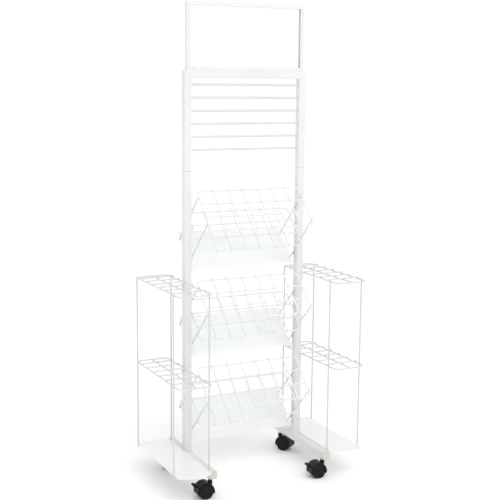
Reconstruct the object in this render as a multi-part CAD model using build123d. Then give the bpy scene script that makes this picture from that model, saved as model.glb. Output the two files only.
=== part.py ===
from build123d import *
import os
from math import sqrt

# Wheeled display rack of white wire and square tube. Millimetres.
# X runs along the width, Y from the front to the back, Z up from the floor.
# The origin is on the floor, half way along the depth of the two side racks.

# Upright frame
frame_y = 53.0               # centre plane of the uprights
tube = 25.0                  # square tube, outside
tube_wall = 1.5
tube_corner = 2.0
lower_length = 958.0         # foot top to the joint line
upper_height = 328.0         # joint line to the top of the top bar
joint_gap = 0.6              # open seam between lower and upper uprights
sleeve_length = 120.0        # inner tube that joins lower and upper uprights
sleeve_clearance = 0.2       # on each side, inside the uprights
sleeve_screw_drop = 30.0     # screw axis below the joint line

# Feet
foot_front = 220.0           # centre plane of the uprights to the front end
foot_back = 141.0            # centre plane of the uprights to the back end
cap_thickness = 3.0
cap_plug_depth = 15.0
cap_clearance = 0.2

# Hanging bars across the upper frame
bar_diameter = 8.0
bar_count = 6
bar_pitch = 42.5
bar_drop = 46.0              # top of the frame to the first bar's axis

# Card frame of folded channel on the top bar
sign_width = 431.0
sign_height = 219.0
sign_face = 12.0             # width of the channel's front and back walls
sign_depth = 12.0
sign_wall = 1.2
sign_screw_inset = 60.0      # screw axis from the card frame's end

# Tilted tiers, each two wire grids and a stop panel behind them
tier_count = 3
tier_pitch = 298.5
tier_drop = 180.3            # joint line to the lowest rail of the top tier's front grid
tier_reach = 147.3           # the same rail, in front of the upright's plane
cell = 54.0                  # square cells of both grids
cells_across = 7
cells_up = 3
edge_wire = 5.0              # wire diameters
cell_wire = 5.0
strut_wire = 5.0
grid_gap = 112.4             # front grid to rear grid, square to both
panel_gap = 102.2            # rear grid to stop panel
grid_corner = 14.0           # bend radius of the grid's outer wire, to its axis
wire_overrun = 5.0           # cell wires stand past the top rail
strut_overrun = 3.0          # struts stand past the front grid
strut_gap = 2.5              # strut to the upright's inner face, filled by a lug
panel_sheet = 1.5
panel_flange = 10.0
panel_corner = 7.0
flange_setback = 9.0         # flange ends, from the panel's corners

# Side racks
rack_depth = 384.0           # between the axes of the front and back edge wires
rack_reach = 113.5           # between the axes of the inner and outer edge wires
rack_corner = 20.0
rack_cells = 7
rack_top_z = 685.0           # axis of the edge wire
rack_middle_z = 390.0
post_front = 152.0           # rack centre to the front posts
post_back = 168.0            # rack centre to the back posts
post_wire = 5.0
post_overrun = 4.0           # above the top grid's edge wire axis
plate_sheet = 2.0
plate_gap = 0.3              # plate to foot and upright
plate_flange = 13.0          # inner edge folded down beside the foot
plate_flange_length = 250.0
plate_screw_span = 180.0     # between the two screws of each flange
post_tail = 3.0              # outer posts below the plate

# Tabs and screws
tab_sheet = 2.0
tab_width = 20.0
tab_height = 20.0
lug_width = 18.0
lug_height = 34.0
lug_screw_drop = 12.0
screw_diameter = 5.0
screw_head = 9.0
screw_head_height = 2.6
screw_grip = 6.0
screw_clearance = 0.3        # on the diameter

# Twin-wheel casters
caster_rise = 20.0           # wheel tops to the underside of the foot
caster_inset = 28.0          # foot end to the stem
caster_offset = 20.0         # stem to wheel axis
wheel_diameter = 50.0
wheel_width = 17.0
wheel_edge = 2.0
wheel_dish_radius = 19.0
wheel_dish_depth = 0.8
wheel_gap = 0.6              # wheel to web, each side
web_width = 8.0
web_radius = 13.0            # boss round the axle, below the hood
hood_gap = 2.0               # wheel tread to hood
hood_wall = 2.5
hood_floor = 17.0            # lower edge of the hood above the floor
axle_diameter = 6.0
axle_clearance = 0.05        # radial, wheel on axle
axle_cover = 3.0             # closed outer end of the wheel's bore
stem_diameter = 10.0
stem_clearance = 0.05        # radial, stem in the hood's collar
collar_diameter = 15.0
collar_gap = 8.0             # collar top to stem flange
stem_flange = 14.0
stem_flange_height = 3.0
stem_wheel_gap = 1.6         # stem's lower end clear of the wheels
stem_bore_gap = 0.5          # below the stem, in the blind bore
stem_thread = 15.0           # stem inside the foot
nut_flats = 16.0
nut_height = 6.5
lever_sheet = 3.0
lever_slot_gap = 0.25        # each side of the lever in the web
lever_travel = 20.0          # degrees
lever_angle = 30.0           # lever above level, released
lever_half_width = 10.0
lever_reach = 49.0           # axle to the lever's tip
lever_pad_length = 11.0
lever_pad_height = 5.0
lever_hub = 8.0
lever_arm_height = 7.0

# Derived positions
caster_height = wheel_diameter + caster_rise     # floor to the underside of the foot
foot_z = caster_height + tube / 2
base_z = caster_height + tube
joint_z = base_z + lower_length
top_z = joint_z + upper_height
tier_top_z = joint_z - tier_drop         # lowest rail of the top tier's front grid
slope = Vector(0, 1, 1) / sqrt(2)        # up a grid
out = Vector(0, -1, 1) / sqrt(2)         # square to a grid, towards the front
grid_width = cell * cells_across
grid_length = cell * cells_up
edge_x = grid_width / 2 + 1.0            # axis of a grid's side wire
strut_x = edge_x + (edge_wire + strut_wire) / 2
inner_face = strut_x + strut_wire / 2 + strut_gap
half_frame = inner_face + tube
post_x = half_frame - tube / 2
rack_inner = half_frame + edge_wire / 2  # axis of the rack's inner edge wire
rack_outer = rack_inner + rack_reach
post_inner = rack_inner - (edge_wire + post_wire) / 2
post_outer = rack_outer + (edge_wire + post_wire) / 2
wheel_radius = wheel_diameter / 2
stem_low = wheel_radius + sqrt((wheel_radius + stem_wheel_gap) ** 2 - caster_offset ** 2)
hood_radius = wheel_radius + hood_gap + hood_wall
caster_width = web_width + 2 * wheel_gap + 2 * wheel_width
touch = 0.04                             # gap left at a weld between two wires


def at(x, y, z):
    return Location((x, y, z))


def block(low, high):
    size = [high[i] - low[i] for i in range(3)]
    middle = [(high[i] + low[i]) / 2 for i in range(3)]
    return Box(*size).moved(at(*middle))


def rod(start, end, diameter):
    start = Vector(*start)
    run = Vector(*end) - start
    return extrude(Plane(origin=start, z_dir=run) * Circle(diameter / 2), run.length)


def wire_loop(plane, half_x, half_y, corner, diameter):
    """Flat loop of round wire: four straight lengths and four quarter bends."""
    def point(x, y):
        return plane.from_local_coords(Vector(x, y, 0))

    flat_x = half_x - corner
    flat_y = half_y - corner
    solids = []
    for side in (-1, 1):
        solids.append(rod(point(-flat_x, side * half_y), point(flat_x, side * half_y), diameter))
        solids.append(rod(point(side * half_x, -flat_y), point(side * half_x, flat_y), diameter))
        for end in (-1, 1):
            centre = point(side * flat_x, end * flat_y)
            start = point(side * half_x, end * flat_y) if side == end else point(side * flat_x, end * half_y)
            travel = plane.z_dir.cross(start - centre)
            section = Plane(origin=start, z_dir=travel) * Circle(diameter / 2)
            solids.append(revolve(section, Axis(centre, plane.z_dir), 90))
    return solids


def square_tube(length, centre, along):
    """Square tube with rounded edges, centred on a point, along X, Y or Z."""
    outside = RectangleRounded(tube, tube, tube_corner)
    inside = RectangleRounded(tube - 2 * tube_wall, tube - 2 * tube_wall, tube_corner - tube_wall)
    profile = Plane(origin=centre, z_dir=along) * (outside - inside)
    return extrude(profile, length / 2, both=True)


def screw(head_at, direction, grip=screw_grip):
    """Round-headed screw: the head stands out against direction, the shank runs along it."""
    head_at = Vector(*head_at)
    direction = Vector(*direction)
    plane = Plane(origin=head_at, z_dir=direction)
    shank = extrude(plane * Circle(screw_diameter / 2), grip)
    head = extrude(plane * Circle(screw_head / 2), -screw_head_height)
    crown = head.faces().sort_by(Axis(head_at, direction))[0]
    head = fillet(crown.edges(), screw_head_height * 0.45)
    return head + shank


def screw_hole(head_at, direction, grip=screw_grip):
    head_at = Vector(*head_at)
    plane = Plane(origin=head_at, z_dir=Vector(*direction))
    return extrude(plane * Circle((screw_diameter + screw_clearance) / 2), grip + 1.0)


def group(solids):
    return Compound(children=list(solids))


def mirrored(shape):
    return mirror(shape, about=Plane.YZ)


# Frame ---------------------------------------------------------------------

def lug_points():
    """Where each strut crosses the middle of an upright: (height) for every tier."""
    heights = []
    for tier in range(tier_count):
        low_rail = tier_top_z - tier * tier_pitch
        for inset in (cell / 2, grid_length - cell / 2):
            heights.append(low_rail - tier_reach + inset * sqrt(2))
    return heights


def tab_heights():
    return [rack_top_z - edge_wire / 2, rack_middle_z - edge_wire / 2]


def screw_cutters():
    """Every screw that enters the right lower upright."""
    cutters = []
    for height in lug_points():
        place = (inner_face, frame_y, height - lug_screw_drop)
        cutters.append(screw_hole(place, (1, 0, 0)))
    for height in tab_heights():
        place = (half_frame, frame_y, height - tab_height / 2)
        cutters.append(screw_hole(place, (-1, 0, 0)))
    place = (post_x, frame_y + tube / 2, joint_z - sleeve_screw_drop)
    cutters.append(screw_hole(place, (0, -1, 0)))
    return cutters


def lower_upright():
    tube_part = square_tube(lower_length, (post_x, frame_y, base_z + lower_length / 2), (0, 0, 1))
    for cutter in screw_cutters():
        tube_part -= cutter
    return tube_part


def mitre_cutter(x, z, turn, length=120.0):
    """Big block whose lower face cuts a 45 degree mitre through the corner (x, z)."""
    cutter = Box(length, length, length).moved(at(0, 0, length / 2))
    return cutter.moved(Location((x, frame_y, z), (0, turn, 0)))


def upper_post():
    length = upper_height - joint_gap
    tube_part = square_tube(length, (post_x, frame_y, top_z - length / 2), (0, 0, 1))
    return tube_part - mitre_cutter(half_frame, top_z, -45)


def top_bar():
    bar = square_tube(2 * half_frame, (0, frame_y, top_z - tube / 2), (1, 0, 0))
    for side in (-1, 1):
        bar -= mitre_cutter(side * half_frame, top_z, side * 135)
    for place in sign_screw_places():
        bar -= screw_hole(place, (0, 0, -1))
    return bar


def joint_sleeve():
    size = tube - 2 * tube_wall - 2 * sleeve_clearance
    profile = Rectangle(size, size) - Rectangle(size - 2 * tube_wall, size - 2 * tube_wall)
    sleeve = extrude(Plane(origin=(post_x, frame_y, joint_z)) * profile, sleeve_length / 2, both=True)
    place = (post_x, frame_y + tube / 2, joint_z - sleeve_screw_drop)
    return sleeve - screw_hole(place, (0, -1, 0))


def sleeve_screw():
    place = (post_x, frame_y + tube / 2, joint_z - sleeve_screw_drop)
    return screw(place, (0, -1, 0))


def foot():
    length = foot_front + foot_back - 2 * cap_thickness
    centre_y = frame_y + (foot_back - foot_front) / 2
    tube_part = square_tube(length, (post_x, centre_y, foot_z), (0, 1, 0))
    for y in stem_places():
        hole = Cylinder(stem_diameter / 2 + screw_clearance, 3 * tube_wall)
        tube_part -= hole.moved(at(post_x, y, caster_height))
    for place in plate_screw_places():
        tube_part -= screw_hole(place, (-1, 0, 0))
    return tube_part


def end_cap(y, outward):
    """Plastic plug: a flange flush with the tube and a hollow plug inside it."""
    plug_size = tube - 2 * tube_wall - 2 * cap_clearance
    plane = Plane(origin=(post_x, y, foot_z), z_dir=(0, outward, 0))
    flange = extrude(plane * RectangleRounded(tube, tube, tube_corner), cap_thickness)
    rim = flange.faces().sort_by(Axis((post_x, y, foot_z), (0, outward, 0)))[-1]
    flange = fillet(rim.edges(), 1.0)
    plug = Rectangle(plug_size, plug_size) - Rectangle(plug_size - 4, plug_size - 4)
    return flange + extrude(plane * plug, -cap_plug_depth)


def foot_caps():
    front = end_cap(frame_y - foot_front + cap_thickness, -1)
    back = end_cap(frame_y + foot_back - cap_thickness, 1)
    return [front, back]


def hanging_bars():
    bars = []
    for i in range(bar_count):
        z = top_z - bar_drop - i * bar_pitch
        bars.append(rod((-inner_face, frame_y, z), (inner_face, frame_y, z), bar_diameter))
    return group(bars)


# Card frame ----------------------------------------------------------------

def sign_screw_places():
    x = sign_width / 2 - sign_screw_inset
    return [(-x, frame_y, top_z + sign_wall), (x, frame_y, top_z + sign_wall)]


def channel(length):
    """Strips of a folded channel along X: a web on Z = 0 and two lips upwards, mitred at both ends."""
    low = (Align.CENTER, Align.CENTER, Align.MIN)
    web = Box(length, sign_depth, sign_wall, align=low)
    lip = Box(length, sign_wall, sign_face - sign_wall, align=low)
    strips = [web] + [lip.moved(at(0, side * (sign_depth - sign_wall) / 2, sign_wall)) for side in (-1, 1)]
    for side in (-1, 1):
        cutter = Box(4 * sign_face, 4 * sign_face, 4 * sign_face, align=low)
        cutter = cutter.moved(Location((side * length / 2, 0, 0), (0, side * 45, 0)))
        strips = [strip - cutter for strip in strips]
    return strips


def sign_piece(length, place, turn):
    strips = [strip.moved(Location(place, (0, turn, 0))) for strip in channel(length)]
    for hole in sign_screw_places():
        strips = [strip - screw_hole(hole, (0, 0, -1)) for strip in strips]
    return group(strips)


def sign_pieces():
    middle_z = top_z + sign_height / 2
    return {
        "sign_bottom": sign_piece(sign_width, (0, frame_y, top_z), 0),
        "sign_top": sign_piece(sign_width, (0, frame_y, top_z + sign_height), 180),
        "sign_left": sign_piece(sign_height, (-sign_width / 2, frame_y, middle_z), 90),
        "sign_right": sign_piece(sign_height, (sign_width / 2, frame_y, middle_z), -90),
    }


# Tiers ---------------------------------------------------------------------

def tier_point(tier, x, up, forward):
    """A point by its distance up the grid and in front of the front grid's plane."""
    origin = Vector(x, frame_y - tier_reach, tier_top_z - tier * tier_pitch)
    return origin + slope * up + out * forward


def wire_grid(tier, forward):
    """One grid: an outer loop, two rails inside it and six cell wires on the front."""
    def point(x, up, lift=0.0):
        return tier_point(tier, x, up, forward + lift)

    plane = Plane(origin=point(0, grid_length / 2), x_dir=(1, 0, 0), z_dir=out)
    solids = wire_loop(plane, edge_x, grid_length / 2, grid_corner, edge_wire)
    for row in range(1, cells_up):
        end = edge_x - edge_wire / 2 - touch
        solids.append(rod(point(-end, row * cell), point(end, row * cell), edge_wire))
    lift = (edge_wire + cell_wire) / 2 + touch
    for column in range(1, cells_across):
        x = (column - cells_across / 2) * cell
        solids.append(rod(point(x, -edge_wire / 2, lift), point(x, grid_length + wire_overrun, lift), cell_wire))
    return group(solids)


def stop_panel(tier):
    """Folded sheet behind the grids, with a flange down each side for the struts."""
    forward = -(grid_gap + panel_gap)
    half = edge_x + edge_wire / 2
    middle = tier_point(tier, 0, grid_length / 2, forward)
    plane = Plane(origin=middle, x_dir=(1, 0, 0), z_dir=out)
    sheet = extrude(plane * RectangleRounded(2 * half, grid_length, panel_corner), -panel_sheet)
    flange_length = grid_length - 2 * flange_setback
    for side in (-1, 1):
        root = plane * Pos(side * (half - panel_sheet / 2), 0) * Rectangle(panel_sheet, flange_length)
        sheet += extrude(root, -panel_flange)
    return sheet


def strut_pair(tier):
    """The two struts of the right side of a tier."""
    rear = -(grid_gap + panel_gap + panel_flange - 1.5)
    x = strut_x + touch
    struts = []
    for up in (cell / 2, grid_length - cell / 2):
        front_end = tier_point(tier, x, up, strut_overrun)
        struts.append(rod(front_end, tier_point(tier, x, up, rear), strut_wire))
    return struts


def lugs():
    """Flat lugs between the struts and the right upright."""
    pieces = []
    for height in lug_points():
        lug = block((strut_x + strut_wire / 2 + 2 * touch, frame_y - lug_width / 2, height - lug_height * 0.62),
                    (inner_face, frame_y + lug_width / 2, height + lug_height * 0.38))
        place = (strut_x + strut_wire / 2, frame_y, height - lug_screw_drop)
        pieces.append(lug - screw_hole(place, (1, 0, 0)))
    return pieces


def lug_screws():
    face = strut_x + strut_wire / 2 + 2 * touch
    return [screw((face, frame_y, height - lug_screw_drop), (1, 0, 0)) for height in lug_points()]


# Side racks ----------------------------------------------------------------

def rack_grid(z):
    """Level grid of the right side rack: edge wires, a centre wire and cross wires on top."""
    half = rack_depth / 2
    centre_x = (rack_inner + rack_outer) / 2
    plane = Plane(origin=(centre_x, 0, z))
    solids = wire_loop(plane, rack_reach / 2, half, rack_corner, edge_wire)
    end = half - edge_wire / 2 - touch
    rise = (edge_wire - cell_wire) / 2
    solids.append(rod((centre_x, -end, z + rise), (centre_x, end, z + rise), cell_wire))
    lift = (edge_wire + cell_wire) / 2 + touch
    start = rack_inner - edge_wire / 2 + touch
    stop = rack_outer + edge_wire / 2
    for i in range(1, rack_cells):
        y = (i / rack_cells - 0.5) * rack_depth
        solids.append(rod((start, y, z + lift), (stop, y, z + lift), cell_wire))
    return group(solids)


def rack_posts():
    top = rack_top_z + post_overrun
    solids = []
    for y in (-post_front, post_back):
        solids.append(rod((post_inner - touch, y, base_z), (post_inner - touch, y, top), post_wire))
        solids.append(rod((post_outer + touch, y, base_z - post_tail), (post_outer + touch, y, top), post_wire))
    return group(solids)


def plate_screw_places():
    middle = frame_y + (foot_back - foot_front) / 2
    x = half_frame + plate_gap + plate_sheet
    z = base_z + plate_sheet - plate_flange / 2 - 1.0
    return [(x, middle + side * plate_screw_span / 2, z) for side in (-1, 1)]


def rack_plate():
    """Base plate beside the foot, with a flange folded down against the foot's outer face."""
    inner = half_frame + plate_gap
    outer = rack_outer + edge_wire / 2
    middle = frame_y + (foot_back - foot_front) / 2
    sheet = Plane(origin=((inner + outer) / 2, 0, base_z)) * RectangleRounded(outer - inner, rack_depth, rack_corner)
    plate = extrude(sheet, plate_sheet)
    flange = block((inner, middle - plate_flange_length / 2, base_z + plate_sheet - plate_flange),
                   (inner + plate_sheet, middle + plate_flange_length / 2, base_z + plate_sheet))
    plate += flange
    for place in plate_screw_places():
        plate -= screw_hole(place, (-1, 0, 0))
    return plate


def plate_screws():
    return [screw(place, (-1, 0, 0)) for place in plate_screw_places()]


def tabs():
    pieces = []
    for height in tab_heights():
        tab = block((half_frame, frame_y - tab_width / 2, height - tab_height),
                    (half_frame + tab_sheet, frame_y + tab_width / 2, height - touch))
        place = (half_frame + tab_sheet, frame_y, height - tab_height / 2)
        pieces.append(tab - screw_hole(place, (-1, 0, 0)))
    return pieces


def tab_screws():
    return [screw((half_frame + tab_sheet, frame_y, height - tab_height / 2), (-1, 0, 0))
            for height in tab_heights()]


# Casters -------------------------------------------------------------------
# Each caster is drawn with its stem on Z at X = 0 and its wheels trailing towards +X.

def stem_places():
    return [frame_y - foot_front + caster_inset, frame_y + foot_back - caster_inset]


def along_axle(radius, low, high):
    """Disc about the wheel axis, between two distances along Y."""
    disc = Cylinder(radius, high - low, rotation=(90, 0, 0))
    return disc.moved(at(caster_offset, (low + high) / 2, wheel_radius))


def caster_stem():
    flange_z = caster_height - stem_flange_height
    stem = rod((0, 0, stem_low), (0, 0, caster_height + stem_thread), stem_diameter)
    return stem + rod((0, 0, flange_z), (0, 0, caster_height), stem_flange)


def stem_nut():
    nut = extrude(RegularPolygon(nut_flats / 2, 6, major_radius=False), nut_height)
    nut -= Cylinder((stem_diameter + screw_clearance) / 2, 3 * nut_height)
    return nut.moved(at(0, 0, caster_height + tube_wall))


def lever_turn(shape, angle):
    """Raise a shape drawn level about the axle's origin by an angle, and put it on the axle."""
    return shape.moved(Location((caster_offset, 0, wheel_radius), (0, -angle, 0)))


def lever():
    """Brake lever: an arm round the axle in the web's slot, and a level pad outside the hood."""
    half = lever_sheet / 2
    hub = along_axle(lever_hub, -half, half)
    hub -= along_axle(axle_diameter / 2 + axle_clearance, -half - 1, half + 1)
    arm_end = lever_reach - lever_pad_length / 2
    arm = block((axle_diameter, -half, -lever_arm_height / 2), (arm_end, half, lever_arm_height / 2))
    arm = lever_turn(arm, lever_angle)
    tip = lever_turn(Pos(lever_reach, 0, 0) * Box(1, 1, 1), lever_angle).center()
    pad = block((tip.X - lever_pad_length, -lever_half_width, tip.Z - lever_pad_height / 2),
                (tip.X, lever_half_width, tip.Z + lever_pad_height / 2))
    pad = fillet(pad.edges().filter_by(Axis.Z), 3.0)
    pad = fillet(pad.faces().sort_by(Axis.Z)[-1].edges(), 1.2)
    return hub + arm + pad


def hood(braked):
    half = caster_width / 2
    web_half = web_width / 2
    fender = along_axle(hood_radius, -half, half) - along_axle(hood_radius - hood_wall, -half - 1, half + 1)
    web = along_axle(hood_radius - hood_wall / 2, -web_half, web_half)
    keep = block((-60, -60, hood_floor), (90, 60, 200))
    shell = (fender + web) & keep
    shell += along_axle(web_radius, -web_half, web_half)
    collar_top = caster_height - stem_flange_height - collar_gap
    collar = rod((0, 0, wheel_radius), (0, 0, collar_top), collar_diameter)
    wheels_room = along_axle(hood_radius - hood_wall, -half - 1, -web_half)
    wheels_room += along_axle(hood_radius - hood_wall, web_half, half + 1)
    shell += collar - wheels_room - block((-60, -60, 0), (60, 60, hood_floor + 12))
    bore = rod((0, 0, stem_low - stem_bore_gap), (0, 0, collar_top + 1), stem_diameter + 2 * stem_clearance)
    shell -= bore
    shell -= along_axle(axle_diameter / 2, -half, half)
    if braked:
        sweep_room = lever_room()
        shell -= sweep_room
    return shell


def lever_room():
    """Slot in the web and hood for the lever's arm, over its whole travel."""
    half = lever_sheet / 2 + lever_slot_gap
    slot = along_axle(lever_hub + 1.0, -half, half) - along_axle(axle_diameter / 2, -half - 1, half + 1)
    low = lever_angle - lever_travel - 4
    for step in range(5):
        angle = low + step * (lever_travel + 8) / 4
        arm = block((axle_diameter, -half, -lever_arm_height / 2 - 1), (lever_reach, half, lever_arm_height / 2 + 1))
        slot += lever_turn(arm, angle)
    return slot - along_axle(axle_diameter / 2, -half - 1, half + 1)


def wheel(side):
    """Moulded wheel: rounded tread, shallow dished face and a blind bore."""
    low = web_width / 2 + wheel_gap
    high = low + wheel_width
    body = along_axle(wheel_radius, low, high)
    body = fillet(body.edges().filter_by(GeomType.CIRCLE), wheel_edge)
    body -= along_axle(wheel_dish_radius, high - wheel_dish_depth, high + 1)
    body -= along_axle(axle_diameter / 2 + axle_clearance, low - 1, high - axle_cover)
    if side < 0:
        body = mirror(body, about=Plane.XZ)
    return body


def axle():
    half = caster_width / 2 - axle_cover - 0.5
    return along_axle(axle_diameter / 2, -half, half)


casters = {
    "front_left": {"side": -1, "y": stem_places()[0], "turn": 176.0, "braked": True},
    "front_right": {"side": 1, "y": stem_places()[0], "turn": 174.0, "braked": True},
    "back_left": {"side": -1, "y": stem_places()[1], "turn": 200.0, "braked": False},
    "back_right": {"side": 1, "y": stem_places()[1], "turn": -56.0, "braked": False},
}


def caster_location(caster):
    return Location((caster["side"] * post_x, caster["y"], 0), (0, 0, caster["turn"]))


# All nodes -----------------------------------------------------------------

def build():
    nodes = {}
    upright = lower_upright()
    nodes["upright_right"] = upright
    nodes["upright_left"] = mirrored(upright)
    post = upper_post()
    nodes["upper_post_right"] = post
    nodes["upper_post_left"] = mirrored(post)
    nodes["top_bar"] = top_bar()
    sleeve = joint_sleeve()
    nodes["joint_sleeves"] = group([sleeve, mirrored(sleeve)])
    nodes["hanging_bars"] = hanging_bars()
    right_foot = foot()
    nodes["foot_right"] = right_foot
    nodes["foot_left"] = mirrored(right_foot)
    caps = foot_caps()
    nodes["foot_end_caps"] = group(caps + [mirrored(cap) for cap in caps])
    nodes.update(sign_pieces())

    screws = [sleeve_screw()] + tab_screws() + lug_screws() + plate_screws()
    screws += [mirrored(piece) for piece in screws]
    screws += [screw(place, (0, 0, -1)) for place in sign_screw_places()]
    nodes["screws"] = group(screws)

    for tier in range(tier_count):
        name = f"tier_{tier + 1}"
        nodes[f"{name}_front_grid"] = wire_grid(tier, 0)
        nodes[f"{name}_rear_grid"] = wire_grid(tier, -grid_gap)
        nodes[f"{name}_stop_panel"] = stop_panel(tier)
        struts = strut_pair(tier)
        nodes[f"{name}_struts"] = group(struts + [mirrored(strut) for strut in struts])
    right_lugs = lugs()
    nodes["strut_lugs"] = group(right_lugs + [mirrored(lug) for lug in right_lugs])
    right_tabs = tabs()
    nodes["rack_tabs"] = group(right_tabs + [mirrored(tab) for tab in right_tabs])

    pieces = {"top_grid": rack_grid(rack_top_z), "middle_grid": rack_grid(rack_middle_z),
              "posts": rack_posts(), "base_plate": rack_plate()}
    for name, piece in pieces.items():
        nodes[f"rack_right_{name}"] = piece
        nodes[f"rack_left_{name}"] = mirrored(piece)

    stems = []
    nuts = []
    for name, caster in casters.items():
        place = caster_location(caster)
        stems.append(caster_stem().moved(place))
        nuts.append(stem_nut().moved(place))
        nodes[f"caster_{name}_hood"] = hood(caster["braked"]).moved(place)
        nodes[f"caster_{name}_axle"] = axle().moved(place)
        nodes[f"caster_{name}_wheel_a"] = wheel(1).moved(place)
        nodes[f"caster_{name}_wheel_b"] = wheel(-1).moved(place)
        if caster["braked"]:
            nodes[f"caster_{name}_lever"] = lever().moved(place)
    nodes["caster_stems"] = group(stems)
    nodes["stem_nuts"] = group(nuts)
    return nodes


os.makedirs("parts", exist_ok=True)
for node_name, shape in build().items():
    export_step(shape, f"parts/{node_name}.step")
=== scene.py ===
import math

import bpy
from mathutils import Matrix, Vector


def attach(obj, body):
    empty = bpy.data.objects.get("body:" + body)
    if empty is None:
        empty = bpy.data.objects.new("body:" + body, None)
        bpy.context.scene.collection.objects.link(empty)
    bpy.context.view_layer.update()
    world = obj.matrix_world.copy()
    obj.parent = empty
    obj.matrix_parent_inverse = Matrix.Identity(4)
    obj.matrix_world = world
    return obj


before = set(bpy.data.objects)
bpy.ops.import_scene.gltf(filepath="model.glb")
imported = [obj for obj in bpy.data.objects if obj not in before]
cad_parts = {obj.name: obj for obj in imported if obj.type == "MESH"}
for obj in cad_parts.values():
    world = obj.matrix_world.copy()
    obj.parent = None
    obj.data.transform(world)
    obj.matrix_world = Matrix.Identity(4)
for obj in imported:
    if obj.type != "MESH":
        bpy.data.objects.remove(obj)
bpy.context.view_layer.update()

mm = 0.001
print("frame loaded")


# Shader maths: a socket that can be added, multiplied and compared

class shade:
    def __init__(self, tree, socket):
        self.tree = tree
        self.socket = socket

    def maths(self, operation, *others):
        return addNode(self.tree, "ShaderNodeMath", {"operation": operation},
                       dict(enumerate((self,) + others)))

    def __add__(self, other):
        return self.maths("ADD", other)

    def __sub__(self, other):
        return self.maths("SUBTRACT", other)

    def __mul__(self, other):
        return self.maths("MULTIPLY", other)

    def __rsub__(self, other):
        return (self * -1.0) + other

    __radd__ = __add__
    __rmul__ = __mul__

    def above(self, edge, width):
        return addNode(self.tree, "ShaderNodeMapRange", {"interpolation_type": "SMOOTHSTEP"},
                       {"Value": self, "From Min": edge, "From Max": edge + width})


def addNode(tree, kind, settings, inputs, output=0):
    node = tree.nodes.new(kind)
    for name, value in settings.items():
        setattr(node, name, value)
    for name, value in inputs.items():
        if isinstance(value, shade):
            tree.links.new(value.socket, node.inputs[name])
        else:
            node.inputs[name].default_value = value
    return shade(tree, node.outputs[output])


def blendColour(tree, factor, first, second):
    # sockets 0, 6 and 7 are Factor, A and B of the colour version
    return addNode(tree, "ShaderNodeMix", {"data_type": "RGBA"}, {0: factor, 6: first, 7: second}, 2)


def noise(tree, place, scale, detail=2.0, roughness=0.5):
    return addNode(tree, "ShaderNodeTexNoise", {},
                   {"Vector": place, "Scale": scale, "Detail": detail, "Roughness": roughness})


def startMaterial(name):
    material = bpy.data.materials.new(name)
    material.use_nodes = True
    tree = material.node_tree
    surface = tree.nodes["Principled BSDF"]
    place = addNode(tree, "ShaderNodeTexCoord", {}, {}, 3)       # Object
    return material, tree, surface, place


def connect(tree, value, surface, name):
    tree.links.new(value.socket, surface.inputs[name])


def bumpOn(tree, surface, height, strength, distance):
    bump = addNode(tree, "ShaderNodeBump", {}, {"Height": height, "Strength": strength, "Distance": distance})
    connect(tree, bump, surface, "Normal")


# Powder coat: fine orange peel, faint unevenness, handling marks, floor dust low down, and where given
# painted shade towards the floor

def powderCoat(name, finish):
    material, tree, surface, place = startMaterial(name)
    height = addNode(tree, "ShaderNodeSeparateXYZ", {}, {0: place}, 2)
    cloud = noise(tree, place, finish["cloudScale"], 3.0)
    smear = noise(tree, place, finish["smearScale"], 4.0, 0.7)
    marks = smear.above(0.60, 0.16) * finish["marks"]
    low = 1.0 - height.above(0.06, 0.22)
    dust = low * (noise(tree, place, 55.0, 5.0, 0.65) * 0.9 + 0.1) * finish["dust"]
    colour = blendColour(tree, cloud.above(0.35, 0.3), finish["colour"], finish["shadeColour"])
    if "lowShadeColour" in finish:        # painted shade: the coat is darker and warmer towards the floor
        lowShade = 1.0 - (height + cloud * 0.08).above(finish["lowFrom"], finish["lowOver"])
        colour = blendColour(tree, lowShade, colour, finish["lowShadeColour"])
    colour = blendColour(tree, marks, colour, finish["markColour"])
    colour = blendColour(tree, dust, colour, finish["dustColour"])
    chip = noise(tree, place, finish["chipScale"], 1.0).above(0.80, 0.02) * finish["chips"]
    colour = blendColour(tree, chip, colour, (0.30, 0.30, 0.31, 1))
    connect(tree, colour, surface, "Base Color")
    roughness = cloud * 0.10 + marks * 0.25 + dust * 0.4 + finish["roughness"]
    connect(tree, roughness, surface, "Roughness")
    peel = noise(tree, place, finish["peelScale"], 2.0) * 0.7
    peel = peel + noise(tree, place, finish["peelScale"] * 0.3, 1.0)
    bumpOn(tree, surface, peel - chip * 2.0, finish["peel"], 0.0002)
    surface.inputs["Coat Weight"].default_value = finish["coat"]
    surface.inputs["Coat Roughness"].default_value = finish["coatRoughness"]
    surface.inputs["Coat IOR"].default_value = finish["coatIor"]
    return material


upperCoat = {
    "colour": (0.750, 0.750, 0.768, 1), "shadeColour": (0.725, 0.726, 0.742, 1),
    "markColour": (0.56, 0.56, 0.55, 1), "dustColour": (0.46, 0.44, 0.40, 1),
    "cloudScale": 7.0, "smearScale": 34.0, "chipScale": 300.0, "peelScale": 1500.0,
    "marks": 0.16, "dust": 0.20, "chips": 0.5, "peel": 0.16,
    "roughness": 0.32, "coat": 0.2, "coatRoughness": 0.18, "coatIor": 1.5,
}
# lower uprights: painted shade, the coat darker and warmer towards the floor
lowerCoat = dict(upperCoat, lowShadeColour=(0.680, 0.686, 0.655, 1), lowFrom=0.45, lowOver=0.60)
footCoat = dict(upperCoat, colour=(0.718, 0.721, 0.704, 1), shadeColour=(0.694, 0.698, 0.676, 1), marks=0.18)
wireCoat = dict(upperCoat, colour=(0.770, 0.771, 0.776, 1), shadeColour=(0.745, 0.746, 0.752, 1),
                peelScale=1100.0, smearScale=60.0, marks=0.12)
postCoat = dict(wireCoat, colour=(0.590, 0.592, 0.598, 1), shadeColour=(0.565, 0.567, 0.572, 1))
rackCoat = dict(wireCoat, colour=(0.660, 0.661, 0.666, 1), shadeColour=(0.635, 0.637, 0.642, 1))
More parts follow.
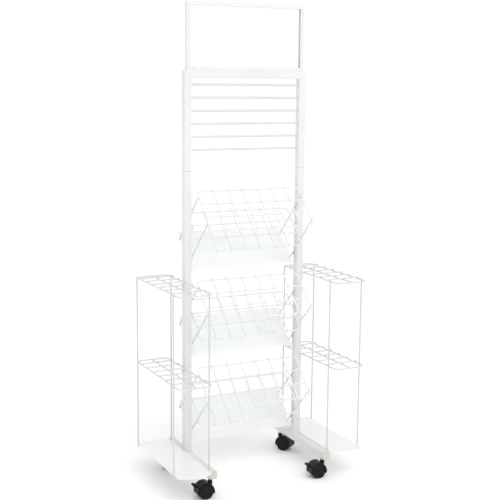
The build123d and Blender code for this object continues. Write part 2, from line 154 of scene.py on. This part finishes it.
signCoat = dict(upperCoat, colour=(0.785, 0.787, 0.792, 1), shadeColour=(0.765, 0.767, 0.773, 1))
# sign frame side channels: a darker copy of the sign paint, painted shade for faces turned from the light
shadedSignSideCoat = dict(upperCoat, colour=(0.735, 0.738, 0.744, 1), shadeColour=(0.712, 0.715, 0.722, 1))
barCoat = dict(wireCoat, colour=(0.690, 0.691, 0.696, 1), shadeColour=(0.665, 0.667, 0.672, 1))
# base plates: white coat with a cool bluish cast that is painted reflection of the surround
plateCoat = dict(upperCoat, colour=(0.832, 0.848, 0.856, 1), shadeColour=(0.812, 0.830, 0.838, 1), dust=0.08,
                 roughness=0.22, coat=0.4)
# gloss stop panels: white coat with a cool bluish cast that is painted reflection; the gloss itself reflects
# in the render
glossCoat = dict(upperCoat, colour=(0.885, 0.905, 0.912, 1), shadeColour=(0.868, 0.890, 0.900, 1),
                 roughness=0.16, coat=1.0, coatRoughness=0.03, coatIor=2.5, peel=0.04, marks=0.05, chips=0.15)


# Moulded plastic: fine grain, rubbed patches, pale scuffs

def mouldedPlastic(name, finish):
    material, tree, surface, place = startMaterial(name)
    cloud = noise(tree, place, 30.0, 3.0)
    rub = noise(tree, place, finish["rubScale"], 5.0, 0.7).above(0.55, 0.2)
    scuff = noise(tree, place, finish["scuffScale"], 6.0, 0.75).above(0.66, 0.08) * finish["scuffs"]
    colour = blendColour(tree, cloud.above(0.35, 0.3), finish["colour"], finish["shadeColour"])
    colour = blendColour(tree, scuff, colour, finish["scuffColour"])
    connect(tree, colour, surface, "Base Color")
    connect(tree, rub * -0.12 + scuff * 0.3 + finish["roughness"], surface, "Roughness")
    grain = noise(tree, place, 2600.0, 2.0) * 0.6 + noise(tree, place, 700.0, 2.0) * 0.4
    bumpOn(tree, surface, grain + scuff * 0.4, finish["grain"], 0.0002)
    surface.inputs["Specular IOR Level"].default_value = finish["specular"]
    return material


blackNylon = {
    "colour": (0.010, 0.008, 0.006, 1), "shadeColour": (0.014, 0.012, 0.009, 1),
    "scuffColour": (0.07, 0.065, 0.055, 1),
    "rubScale": 60.0, "scuffScale": 240.0, "scuffs": 0.30, "roughness": 0.40, "grain": 0.25,
    "specular": 0.16,
}
treadNylon = dict(blackNylon, scuffs=0.5, roughness=0.50, grain=0.4, scuffColour=(0.08, 0.074, 0.064, 1))
creamPlastic = {
    "colour": (0.572, 0.558, 0.472, 1), "shadeColour": (0.545, 0.530, 0.446, 1),
    "scuffColour": (0.42, 0.40, 0.34, 1),
    "rubScale": 70.0, "scuffScale": 200.0, "scuffs": 0.3, "roughness": 0.45, "grain": 0.3, "specular": 0.4,
}


# Zinc plate: crystal patches and fine turning marks

def zincPlate(name, finish):
    material, tree, surface, place = startMaterial(name)
    patch = addNode(tree, "ShaderNodeTexVoronoi", {}, {"Vector": place, "Scale": finish["patchScale"]}, 0)
    cloud = noise(tree, place, 120.0, 3.0)
    colour = blendColour(tree, cloud, finish["colour"], finish["shadeColour"])
    connect(tree, colour, surface, "Base Color")
    connect(tree, patch * 0.15 + cloud * 0.15 + finish["roughness"], surface, "Roughness")
    bumpOn(tree, surface, noise(tree, place, 3000.0, 2.0), 0.15, 0.0001)
    surface.inputs["Metallic"].default_value = 1.0
    return material


zinc = {"colour": (0.72, 0.72, 0.71, 1), "shadeColour": (0.58, 0.58, 0.58, 1),
        "patchScale": 900.0, "roughness": 0.22}
# dark steel finish; on the screw-head crosses it is painted shade in place of recess hollows
darkSteelAndSlotShade = {"colour": (0.20, 0.20, 0.20, 1), "shadeColour": (0.12, 0.12, 0.12, 1),
            "patchScale": 900.0, "roughness": 0.5}

upperPaint = powderCoat("upperPaint", upperCoat)
lowerPaint = powderCoat("lowerPaint", lowerCoat)
footPaint = powderCoat("footPaint", footCoat)
wirePaint = powderCoat("wirePaint", wireCoat)
postPaint = powderCoat("postPaint", postCoat)
rackPaint = powderCoat("rackPaint", rackCoat)
signPaint = powderCoat("signPaint", signCoat)
shadedSignSidePaint = powderCoat("shadedSignSidePaint", shadedSignSideCoat)
barPaint = powderCoat("barPaint", barCoat)
platePaint = powderCoat("platePaint", plateCoat)
panelPaint = powderCoat("panelPaint", glossCoat)
nylon = mouldedPlastic("nylon", blackNylon)
tread = mouldedPlastic("tread", treadNylon)
cream = mouldedPlastic("cream", creamPlastic)
zincSteel = zincPlate("zincSteel", zinc)
darkSteelAndRecessShade = zincPlate("darkSteelAndRecessShade", darkSteelAndSlotShade)
print("finishes made")


# Finish of every CAD node, by the words in its name, first match wins

finishOfNode = [
    ("upper_post", upperPaint), ("top_bar", upperPaint), ("upright", lowerPaint),
    # the sign side channels take the painted-shade copy of the sign paint
    ("sign_left", shadedSignSidePaint), ("sign_right", shadedSignSidePaint), ("sign", signPaint),
    ("foot_end", cream), ("foot", footPaint), ("stop_panel", panelPaint), ("base_plate", platePaint),
    ("posts", postPaint), ("screws", zincSteel), ("nuts", zincSteel), ("stems", zincSteel),
    ("axle", zincSteel),
    ("wheel", tread), ("hood", nylon), ("lever", nylon), ("sleeves", darkSteelAndRecessShade), ("lugs", wirePaint),
    ("tabs", rackPaint), ("rack", rackPaint), ("grid", wirePaint), ("struts", barPaint), ("bars", barPaint),
]
for nodeName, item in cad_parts.items():
    paint = next(material for word, material in finishOfNode if word in nodeName)
    item.data.materials.clear()
    item.data.materials.append(paint)
print("nodes painted")


# Sizes that pieces are set out from, metres

rack = {"frameY": 53 * mm, "postX": 212.5 * mm, "innerFace": 200 * mm, "tube": 25 * mm,
        "footTop": 95 * mm, "footFront": 220 * mm, "footBack": 141 * mm, "joint": 1053 * mm, "top": 1381 * mm}
tierPlan = {"count": 3, "pitch": 298.5 * mm, "lowZ": 872.7 * mm, "reach": 147.3 * mm, "cell": 54 * mm,
            "across": 7, "up": 3, "rearGap": 112.4 * mm, "panelGap": 216.5 * mm, "wire": 5 * mm,
            "railEnd": 189.2 * mm, "strutSide": 192.5 * mm, "strutRows": (0.5, 2.5)}
sidePlan = {"depth": 384 * mm, "inner": 227.5 * mm, "outer": 341 * mm, "cells": 7, "wire": 5 * mm,
            "levels": (685 * mm, 390 * mm), "posts": (-152 * mm, 168 * mm), "postIn": 222.5 * mm,
            "innerWeld": 225 * mm, "outerWeld": 343.5 * mm, "plateWeld": 343.6 * mm,
            "plateMiddle": 96 * mm, "postFoot": 95.2 * mm}
slope = Vector((0, 1, 1)).normalized()
outward = Vector((0, -1, 1)).normalized()


def settle(item, name, material, body):
    item.name = name
    item.data.name = name
    item.data.transform(item.matrix_world)
    item.matrix_world = Matrix.Identity(4)
    item.data.materials.clear()
    item.data.materials.append(material)
    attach(item, body)
    return item


def smooth(item, degrees=40):
    bpy.ops.object.select_all(action="DESELECT")
    item.select_set(True)
    bpy.context.view_layer.objects.active = item
    bpy.ops.object.shade_smooth_by_angle(angle=math.radians(degrees))


def copiesJoined(pattern, placements):
    # one copy of the pattern, with its own mesh, for every matrix
    made = []
    for placement in placements:
        copy = pattern.copy()
        copy.data = pattern.data.copy()
        copy.data.transform(placement)
        bpy.context.collection.objects.link(copy)
        made.append(copy)
    bpy.data.objects.remove(pattern)
    bpy.ops.object.select_all(action="DESELECT")
    for copy in made:
        copy.select_set(True)
    bpy.context.view_layer.objects.active = made[0]
    bpy.ops.object.join()
    return bpy.context.object


def facing(point, normal, across=(1, 0, 0)):
    # matrix that puts local Z along the normal at a point
    z = Vector(normal).normalized()
    x = (Vector(across) - Vector(across).dot(z) * z).normalized()
    y = z.cross(x)
    turn = Matrix((x, y, z)).transposed().to_4x4()
    return Matrix.Translation(point) @ turn


# Weld nuggets where two wires cross

weld = {"radius": 3.0 * mm, "flatten": 0.62, "stretch": 1.25, "segments": 12, "rings": 7}


def weldPattern():
    bpy.ops.object.select_all(action="DESELECT")
    bpy.ops.mesh.primitive_uv_sphere_add(segments=weld["segments"], ring_count=weld["rings"],
                                         radius=weld["radius"])
    item = bpy.context.object
    bpy.ops.object.mode_set(mode="EDIT")
    bpy.ops.mesh.select_all(action="SELECT")
    bpy.ops.transform.resize(value=(weld["stretch"], 1.0, weld["flatten"]))
    bpy.ops.mesh.vertices_smooth(factor=0.3)
    bpy.ops.object.mode_set(mode="OBJECT")
    smooth(item, 80)
    return item


def tierPoint(tier, x, up, forward):
    start = Vector((x, rack["frameY"] - tierPlan["reach"], tierPlan["lowZ"] - tier * tierPlan["pitch"]))
    return start + slope * up + outward * forward


def tierWelds():
    cell = tierPlan["cell"]
    for tier in range(tierPlan["count"]):
        for name, forward in (("Front", 0.0), ("Rear", -tierPlan["rearGap"])):
            places = []
            for row in range(tierPlan["up"] + 1):
                for column in range(1, tierPlan["across"]):
                    x = (column - tierPlan["across"] / 2) * cell
                    point = tierPoint(tier, x, row * cell, forward + tierPlan["wire"] / 2)
                    places.append(facing(point, outward))
            for row in range(1, tierPlan["up"]):
                for side in (-1, 1):
                    point = tierPoint(tier, side * tierPlan["railEnd"], row * cell, forward)
                    places.append(facing(point, (side, 0, 0), slope))
            item = copiesJoined(weldPattern(), places)
            settle(item, f"tier{tier + 1}{name}Welds", wirePaint, "stand")


def strutWelds():
    places = []
    for tier in range(tierPlan["count"]):
        for side in (-1, 1):
            x = side * tierPlan["strutSide"]
            for row in tierPlan["strutRows"]:
                up = row * tierPlan["cell"]
                for forward in (0.0, -tierPlan["rearGap"]):
                    places.append(facing(tierPoint(tier, x, up, forward), (side, 0, 0), slope))
                places.append(facing(tierPoint(tier, x, up, -tierPlan["panelGap"]), (side, 0, 0), outward))
    item = copiesJoined(weldPattern(), places)
    settle(item, "strutWelds", wirePaint, "stand")


def sideWelds():
    for side, sideName in ((1, "right"), (-1, "left")):
        places = []
        middle = (sidePlan["inner"] + sidePlan["outer"]) / 2
        for level in sidePlan["levels"]:
            for i in range(1, sidePlan["cells"]):
                y = (i / sidePlan["cells"] - 0.5) * sidePlan["depth"]
                for x in (sidePlan["inner"], middle, sidePlan["outer"]):
                    places.append(facing((side * x, y, level + sidePlan["wire"] / 2), (0, 0, 1), (0, 1, 0)))
            for y in sidePlan["posts"]:
                for x in (sidePlan["innerWeld"], sidePlan["outerWeld"]):
                    places.append(facing((side * x, y, level), (side, 0, 0), (0, 0, 1)))
        for y in sidePlan["posts"]:
            plateEdge = (side * sidePlan["plateWeld"], y, sidePlan["plateMiddle"])
            places.append(facing(plateEdge, (side, 0, 0), (0, 0, 1)))
            postFoot = (side * sidePlan["postIn"], y, sidePlan["postFoot"])
            places.append(facing(postFoot, (0, 0, 1), (1, 0, 0)))
        item = copiesJoined(weldPattern(), places)
        settle(item, f"{sideName}RackWelds", rackPaint, "stand")


tierWelds()
strutWelds()
sideWelds()
print("welds laid")


# Weld collars round the ends of the hanging bars

barEnd = {"count": 6, "pitch": 42.5 * mm, "drop": 46 * mm, "major": 4.3 * mm, "minor": 0.9 * mm,
          "standOff": 0.5 * mm, "uneven": 0.12 * mm}


def barCollars():
    bpy.ops.object.select_all(action="DESELECT")
    bpy.ops.mesh.primitive_torus_add(major_segments=24, minor_segments=8,
                                     major_radius=barEnd["major"], minor_radius=barEnd["minor"])
    pattern = bpy.context.object
    bpy.ops.object.mode_set(mode="EDIT")
    bpy.ops.mesh.select_all(action="SELECT")
    bpy.ops.transform.vertex_random(offset=barEnd["uneven"], seed=4)
    bpy.ops.transform.resize(value=(1.0, 1.0, 0.85))
    bpy.ops.object.mode_set(mode="OBJECT")
    smooth(pattern, 80)
    places = []
    for i in range(barEnd["count"]):
        z = rack["top"] - barEnd["drop"] - i * barEnd["pitch"]
        for side in (-1, 1):
            point = (side * (rack["innerFace"] - barEnd["standOff"]), rack["frameY"], z)
            places.append(facing(point, (side, 0, 0), (0, 1, 0)))
    item = copiesJoined(pattern, places)
    settle(item, "barCollars", upperPaint, "stand")


barCollars()


# Fillet welds in front of and behind each upright, on the foot

fillet = {"length": 21 * mm, "radius": 2.4 * mm, "ripples": 14, "uneven": 0.25 * mm}


def footFillets():
    bpy.ops.object.select_all(action="DESELECT")
    bpy.ops.mesh.primitive_cylinder_add(vertices=12, radius=fillet["radius"], depth=fillet["length"])
    pattern = bpy.context.object
    bpy.ops.object.mode_set(mode="EDIT")
    bpy.ops.mesh.select_all(action="SELECT")
    bpy.ops.mesh.subdivide(number_cuts=fillet["ripples"])
    bpy.ops.transform.vertex_random(offset=fillet["uneven"], seed=9)
    bpy.ops.mesh.vertices_smooth(factor=0.4)
    bpy.ops.object.mode_set(mode="OBJECT")
    smooth(pattern, 80)
    places = []
    for side in (-1, 1):
        for edge in (-1, 1):
            point = (side * rack["postX"], rack["frameY"] + edge * rack["tube"] / 2, rack["footTop"])
            places.append(facing(point, (1, 0, 0), (0, 0, 1)))
    item = copiesJoined(pattern, places)
    settle(item, "footFillets", footPaint, "stand")


footFillets()
print("collars and fillets laid")


# Dark crosses set into the screw heads: painted shade standing in for their recesses

crossDrive = {"arm": 2.1 * mm, "width": 0.9 * mm, "flatten": 0.3}
screwHead = {"lugX": 194.98 * mm, "lugDrop": 12 * mm, "flangeX": 229.9 * mm, "flangeZ": 89.5 * mm,
             "flangeY": (-76.5 * mm, 103.5 * mm), "tabX": 229.6 * mm, "tabDrop": 12.5 * mm,
             "sleeveOut": 15.1 * mm, "sleeveDrop": 30 * mm, "signX": 155.5 * mm, "signRise": 3.8 * mm}


def screwPlaces():
    places = []
    y = rack["frameY"]
    for tier in range(tierPlan["count"]):
        for row in tierPlan["strutRows"]:
            crossing = tierPlan["lowZ"] - tier * tierPlan["pitch"] - tierPlan["reach"]
            z = crossing + row * tierPlan["cell"] * math.sqrt(2) - screwHead["lugDrop"]
            for side in (-1, 1):
                places.append(((side * screwHead["lugX"], y, z), (-side, 0, 0)))
    for flangeY in screwHead["flangeY"]:
        for side in (-1, 1):
            places.append(((side * screwHead["flangeX"], flangeY, screwHead["flangeZ"]), (side, 0, 0)))
    for level in sidePlan["levels"]:
        for side in (-1, 1):
            places.append(((side * screwHead["tabX"], y, level - screwHead["tabDrop"]), (side, 0, 0)))
    for side in (-1, 1):
        sleeveZ = rack["joint"] - screwHead["sleeveDrop"]
        places.append(((side * rack["postX"], y + screwHead["sleeveOut"], sleeveZ), (0, 1, 0)))
        places.append(((side * screwHead["signX"], y, rack["top"] + screwHead["signRise"]), (0, 0, 1)))
    return places


# painted shade: dark crosses standing in for the shaded hollows of the screw recesses
def crossRecessShades():
    bpy.ops.object.select_all(action="DESELECT")
    bpy.ops.mesh.primitive_cube_add(size=crossDrive["width"])
    pattern = bpy.context.object
    bpy.ops.object.mode_set(mode="EDIT")
    bpy.ops.mesh.select_all(action="DESELECT")
    bpy.ops.object.mode_set(mode="OBJECT")
    for face in pattern.data.polygons:
        face.select = abs(face.normal.z) < 0.5
    bpy.ops.object.mode_set(mode="EDIT")
    bpy.ops.mesh.select_mode(type="FACE")
    reach = crossDrive["arm"] - crossDrive["width"] / 2
    bpy.ops.mesh.extrude_faces_move(TRANSFORM_OT_shrink_fatten={"value": reach})
    bpy.ops.mesh.select_all(action="SELECT")
    bpy.ops.transform.resize(value=(1.0, 1.0, crossDrive["flatten"]))
    bpy.ops.object.mode_set(mode="OBJECT")
    places = [facing(point, normal, (0, 0, 1) if normal[2] == 0 else (1, 0, 0))
              for point, normal in screwPlaces()]
    item = copiesJoined(pattern, places)
    settle(item, "screwRecessShades", darkSteelAndRecessShade, "stand")


crossRecessShades()


# Moulded step and centre mark on the cream end caps

capMould = {"size": 17 * mm, "depth": 1.2 * mm, "rise": 0.5 * mm, "inset": 3.5 * mm, "step": 0.5 * mm,
            "bevel": 0.4 * mm, "sunk": 0.5 * mm, "height": 82.5 * mm}


def capFaces():
    bpy.ops.object.select_all(action="DESELECT")
    bpy.ops.mesh.primitive_cube_add(size=1.0)
    pattern = bpy.context.object
    bpy.ops.object.mode_set(mode="EDIT")
    bpy.ops.mesh.select_all(action="SELECT")
    bpy.ops.transform.resize(value=(capMould["size"], capMould["size"], capMould["depth"]))
    bpy.ops.object.mode_set(mode="OBJECT")
    for face in pattern.data.polygons:
        face.select = face.normal.z > 0.5
    bpy.ops.object.mode_set(mode="EDIT")
    bpy.ops.mesh.select_mode(type="FACE")
    bpy.ops.mesh.inset(thickness=capMould["inset"], depth=0)
    bpy.ops.mesh.inset(thickness=capMould["step"], depth=-capMould["rise"])
    bpy.ops.object.mode_set(mode="OBJECT")
    bevel = pattern.modifiers.new("bevel", "BEVEL")
    bevel.width = capMould["bevel"]
    bevel.segments = 2
    bpy.context.view_layer.objects.active = pattern
    bpy.ops.object.modifier_apply(modifier="bevel")
    smooth(pattern, 40)
    places = []
    for side in (-1, 1):
        for y, way in ((rack["frameY"] - rack["footFront"], -1), (rack["frameY"] + rack["footBack"], 1)):
            point = (side * rack["postX"], y - way * capMould["sunk"], capMould["height"])
            places.append(facing(point, (0, way, 0), (1, 0, 0)))
    item = copiesJoined(pattern, places)
    settle(item, "capFaces", cream, "stand")


capFaces()
print("end caps finished")


# Caster trim: a ribbed disc in each wheel's dish, ridges on the brake pedals

casterPlan = {
    "front_left": {"x": -212.5 * mm, "y": -139 * mm, "turn": 176.0, "braked": True},
    "front_right": {"x": 212.5 * mm, "y": -139 * mm, "turn": 174.0, "braked": True},
    "back_left": {"x": -212.5 * mm, "y": 166 * mm, "turn": 200.0, "braked": False},
    "back_right": {"x": 212.5 * mm, "y": 166 * mm, "turn": -56.0, "braked": False},
}
wheelTrim = {"offset": 20 * mm, "axleZ": 25 * mm, "faceY": 21.1 * mm, "ringRadius": 15.5 * mm,
             "ringWire": 0.8 * mm, "spokes": 6, "spoke": (11.0 * mm, 1.5 * mm, 1.0 * mm),
             "spokeMiddle": 10.0 * mm, "spokeBevel": 0.3 * mm,
             "bossRadius": 5.2 * mm, "bossDepth": 1.4 * mm, "bossRim": 1.4 * mm,
             "bossStep": 0.3 * mm, "bossSink": 0.5 * mm}


def trimPattern():
    bpy.ops.object.select_all(action="DESELECT")
    bpy.ops.mesh.primitive_torus_add(major_segments=40, minor_segments=8,
                                     major_radius=wheelTrim["ringRadius"], minor_radius=wheelTrim["ringWire"])
    ring = bpy.context.object
    bpy.ops.mesh.primitive_cylinder_add(vertices=24, radius=wheelTrim["bossRadius"],
                                        depth=wheelTrim["bossDepth"])
    boss = bpy.context.object
    for face in boss.data.polygons:
        face.select = face.normal.z > 0.5
    bpy.ops.object.mode_set(mode="EDIT")
    bpy.ops.mesh.select_mode(type="FACE")
    bpy.ops.mesh.inset(thickness=wheelTrim["bossRim"], depth=0)
    bpy.ops.mesh.inset(thickness=wheelTrim["bossStep"], depth=-wheelTrim["bossSink"])
    bpy.ops.object.mode_set(mode="OBJECT")
    parts = [ring, boss]
    for i in range(wheelTrim["spokes"]):
        bpy.ops.mesh.primitive_cube_add(size=1.0)
        spoke = bpy.context.object
        bpy.ops.object.mode_set(mode="EDIT")
        bpy.ops.transform.resize(value=wheelTrim["spoke"])
        bpy.ops.mesh.bevel(offset=wheelTrim["spokeBevel"], segments=2)
        bpy.ops.transform.translate(value=(wheelTrim["spokeMiddle"], 0, 0))
        bpy.ops.object.mode_set(mode="OBJECT")
        spoke.data.transform(Matrix.Rotation(i * 2 * math.pi / wheelTrim["spokes"], 4, "Z"))
        parts.append(spoke)
    bpy.ops.object.select_all(action="DESELECT")
    for part in parts:
        part.select_set(True)
    bpy.context.view_layer.objects.active = ring
    bpy.ops.object.join()
    smooth(ring, 40)
    return ring


def casterMatrix(plan):
    return Matrix.Translation((plan["x"], plan["y"], 0)) @ Matrix.Rotation(math.radians(plan["turn"]), 4, "Z")


for casterName, plan in casterPlan.items():
    for letter, way in (("a", 1), ("b", -1)):
        item = trimPattern()
        hub = (wheelTrim["offset"], way * wheelTrim["faceY"], wheelTrim["axleZ"])
        flat = facing(hub, (0, way, 0), (1, 0, 0))
        item.data.transform(casterMatrix(plan) @ flat)
        settle(item, f"{casterName}_hubDisc_{letter}", nylon, f"wheel_{casterName}_{letter}")
print("hub discs fitted")

hoodRidge = {"radius": 29.3 * mm, "wire": 0.9 * mm, "from": 20.0, "to": 160.0, "steps": 28,
             "edgeY": 19.5 * mm}


def hoodRidges(casterName, plan):
    # two raised beads over the hood, one near each edge, drawn as an arc of a ring
    bpy.ops.object.select_all(action="DESELECT")
    bpy.ops.mesh.primitive_circle_add(vertices=8, radius=hoodRidge["wire"], fill_type="NGON")
    bead = bpy.context.object
    bead.data.transform(Matrix.Translation((hoodRidge["radius"], 0, 0)))
    bpy.ops.object.mode_set(mode="EDIT")
    bpy.ops.mesh.select_all(action="SELECT")
    # the profile stands in the plane of X and Y, and is swept about Y
    bpy.ops.mesh.spin(steps=hoodRidge["steps"], angle=math.radians(hoodRidge["to"] - hoodRidge["from"]),
                      center=(0, 0, 0), axis=(0, 1, 0), use_auto_merge=False)
    bpy.ops.mesh.select_all(action="SELECT")
    bpy.ops.mesh.normals_make_consistent(inside=False)
    bpy.ops.object.mode_set(mode="OBJECT")
    smooth(bead, 60)
    highest = max(vertex.co.z for vertex in bead.data.vertices)
    way = 1 if highest < hoodRidge["radius"] / 2 else -1      # which way the sweep went
    start = math.radians(hoodRidge["from"]) * way
    toHood = casterMatrix(plan) @ Matrix.Translation((wheelTrim["offset"], 0, wheelTrim["axleZ"]))
    turn = Matrix.Rotation(-start if way < 0 else math.pi - start, 4, "Y")
    places = [toHood @ Matrix.Translation((0, edge * hoodRidge["edgeY"], 0)) @ turn for edge in (-1, 1)]
    item = copiesJoined(bead, places)
    settle(item, f"{casterName}_hoodRidges", nylon, f"caster_{casterName}")


for casterName, plan in casterPlan.items():
    hoodRidges(casterName, plan)
print("hoods edged")

pedalGrip = {"tip": (62.4 * mm, 0, 52 * mm), "ridges": 4, "pitch": 2.2 * mm, "width": 15 * mm,
             "wire": 0.7 * mm, "bevel": 0.25 * mm, "inset": 2.4 * mm}


def pedalRidges(casterName, plan):
    bpy.ops.object.select_all(action="DESELECT")
    bpy.ops.mesh.primitive_cylinder_add(vertices=12, radius=pedalGrip["wire"], depth=pedalGrip["width"])
    pattern = bpy.context.object
    bpy.ops.object.mode_set(mode="EDIT")
    bpy.ops.mesh.select_all(action="SELECT")
    bpy.ops.mesh.bevel(offset=pedalGrip["bevel"], segments=2)
    bpy.ops.object.mode_set(mode="OBJECT")
    smooth(pattern, 60)
    tipX, tipY, tipZ = pedalGrip["tip"]
    places = []
    for i in range(pedalGrip["ridges"]):
        ridge = (tipX - pedalGrip["inset"] - i * pedalGrip["pitch"], tipY, tipZ)
        places.append(casterMatrix(plan) @ facing(ridge, (0, 1, 0), (1, 0, 0)))
    item = copiesJoined(pattern, places)
    settle(item, f"{casterName}_pedalRidges", nylon, f"lever_{casterName}")


for casterName, plan in casterPlan.items():
    if plan["braked"]:
        pedalRidges(casterName, plan)
print("pedals ribbed")


# Floor, light and camera

studio = {
    "floorColour": (0.97, 0.97, 0.97, 1), "floorShade": (0.96, 0.96, 0.96, 1),
    "horizonStrength": 1.02, "zenithStrength": 0.86, "keyStrength": 1.05, "keyAngle": 50.0,
    "keyFrom": (-0.04, -0.66, 0.75),
}
bpy.ops.object.select_all(action="DESELECT")
bpy.ops.mesh.primitive_plane_add(size=60.0)
floor = bpy.context.object
floor.name = "studioFloor"
floorMaterial, floorTree, floorSurface, floorPlace = startMaterial("floorPaper")
floorCloud = noise(floorTree, floorPlace, 3.0)
paper = blendColour(floorTree, floorCloud, studio["floorColour"], studio["floorShade"])
connect(floorTree, paper, floorSurface, "Base Color")
floorSurface.inputs["Roughness"].default_value = 0.9
floorSurface.inputs["Specular IOR Level"].default_value = 0.1
floor.data.materials.append(floorMaterial)

world = bpy.data.worlds.new("studio")
bpy.context.scene.world = world
world.use_nodes = True
skyTree = world.node_tree
skyDirection = addNode(skyTree, "ShaderNodeTexCoord", {}, {}, 0)
skyHeight = addNode(skyTree, "ShaderNodeSeparateXYZ", {}, {0: skyDirection}, 2)
skyFall = skyHeight.above(0.15, 0.6) * (studio["zenithStrength"] - studio["horizonStrength"])
skyLight = skyFall + studio["horizonStrength"]
skyTree.links.new(skyLight.socket, skyTree.nodes["Background"].inputs["Strength"])
skyTree.nodes["Background"].inputs["Color"].default_value = (1, 1, 1, 1)

sun = bpy.data.lights.new("key", "SUN")
sun.energy = studio["keyStrength"]
sun.angle = math.radians(studio["keyAngle"])
sunObject = bpy.data.objects.new("key", sun)
sunObject.rotation_euler = Vector(studio["keyFrom"]).to_track_quat("Z", "Y").to_euler()
bpy.context.collection.objects.link(sunObject)

viewpoint = {"place": (-1.550, -3.0676, 1.3394), "heading": -26.75, "pitch": 9.16, "roll": 0.525,
             "lens": 74.35}
heading = math.radians(viewpoint["heading"])
pitch = math.radians(viewpoint["pitch"])
roll = math.radians(viewpoint["roll"])
back = Vector((math.sin(heading) * math.cos(pitch), -math.cos(heading) * math.cos(pitch), math.sin(pitch)))
level = Vector((math.cos(heading), math.sin(heading), 0))
rise = back.cross(level)
right = level * math.cos(roll) + rise * math.sin(roll)
up = rise * math.cos(roll) - level * math.sin(roll)
cameraData = bpy.data.cameras.new("camera")
cameraData.lens = viewpoint["lens"]
cameraData.sensor_width = 36.0
camera = bpy.data.objects.new("camera", cameraData)
camera.matrix_world = Matrix.Translation(viewpoint["place"]) @ Matrix((right, up, back)).transposed().to_4x4()
bpy.context.collection.objects.link(camera)
bpy.context.scene.camera = camera
bpy.context.scene.view_settings.view_transform = "Standard"
print("studio set")
